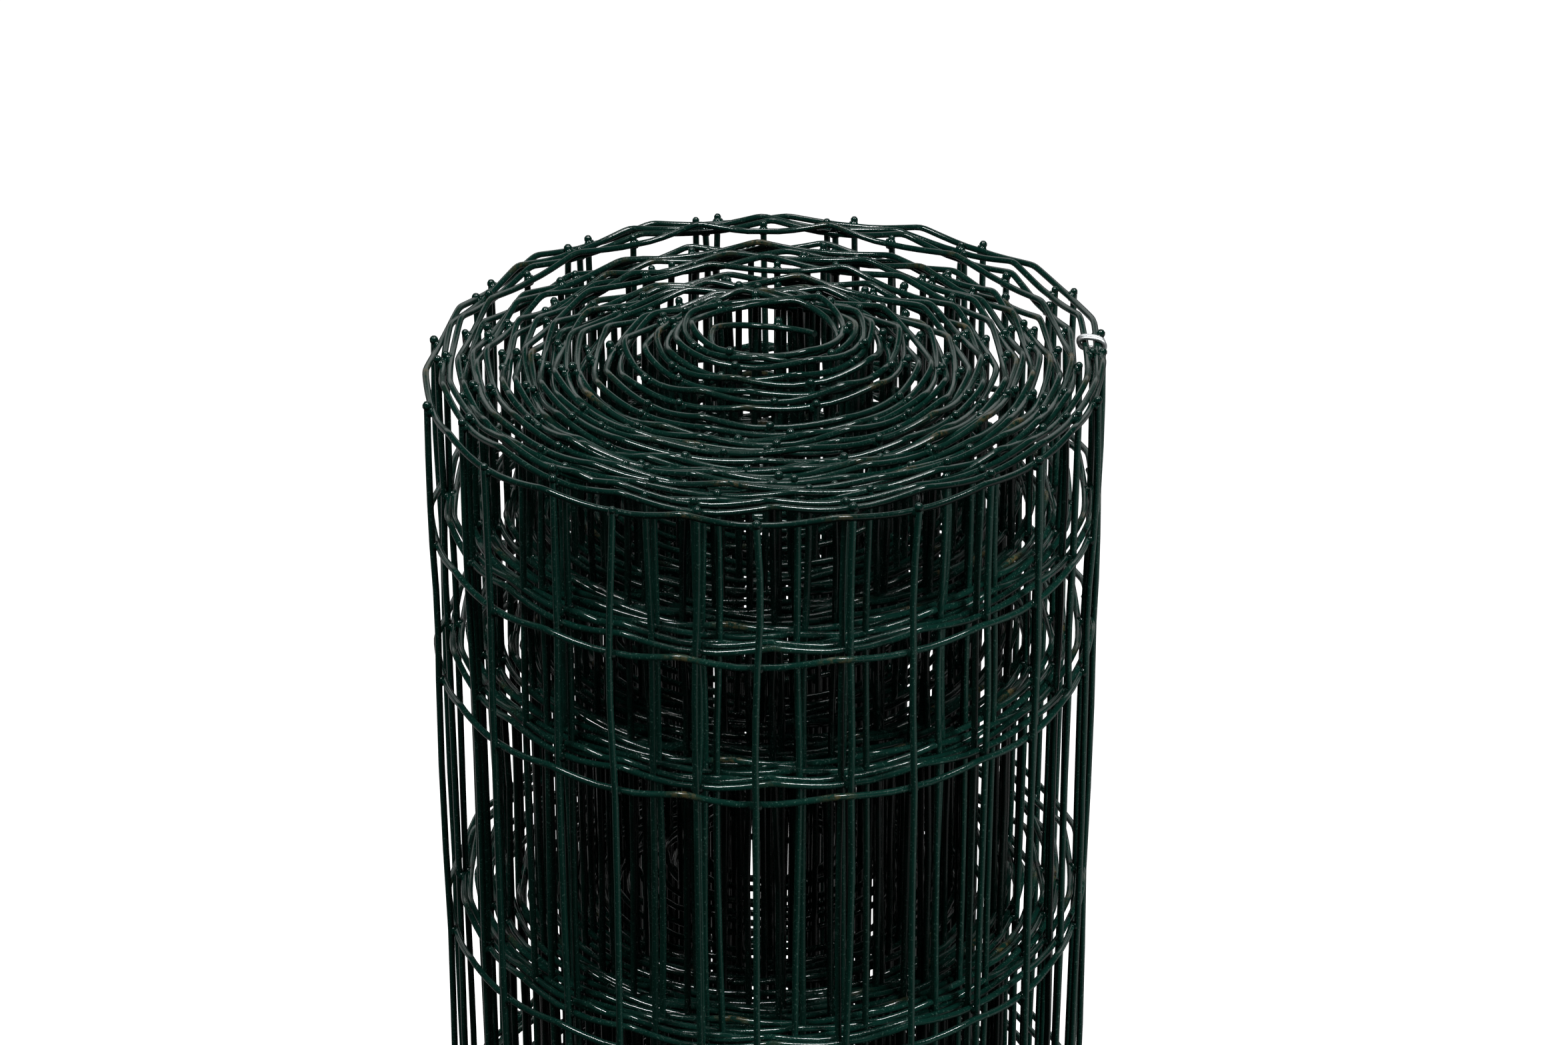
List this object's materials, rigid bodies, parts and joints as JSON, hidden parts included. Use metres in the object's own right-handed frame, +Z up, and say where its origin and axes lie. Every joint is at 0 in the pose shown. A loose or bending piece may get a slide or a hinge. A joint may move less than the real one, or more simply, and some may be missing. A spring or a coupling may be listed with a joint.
{
  "type": "roll of wire fencing",
  "caption": "Standing roll of green plastic coated welded wire fencing, loosely wound round an open bore and held at the top by a zinc coated tie wire.",
  "frame": {"origin": "middle of the lower end, on the axis of the bore, where the roll stands", "axes": "+Z up the bore, -Y towards the side the picture was taken from"},
  "size_m": [0.2335, 0.2321, 1.0299],
  "materials": {
    "coated_wire": "dark green plastic coating over steel wire, glossy with a fine grain",
    "zinc_wire": "bright zinc coated steel wire"
  },
  "bodies": {
    "root": {"mesh_roll": "coated_wire", "tie_wire": "zinc_wire"}
  },
  "joints": []
}
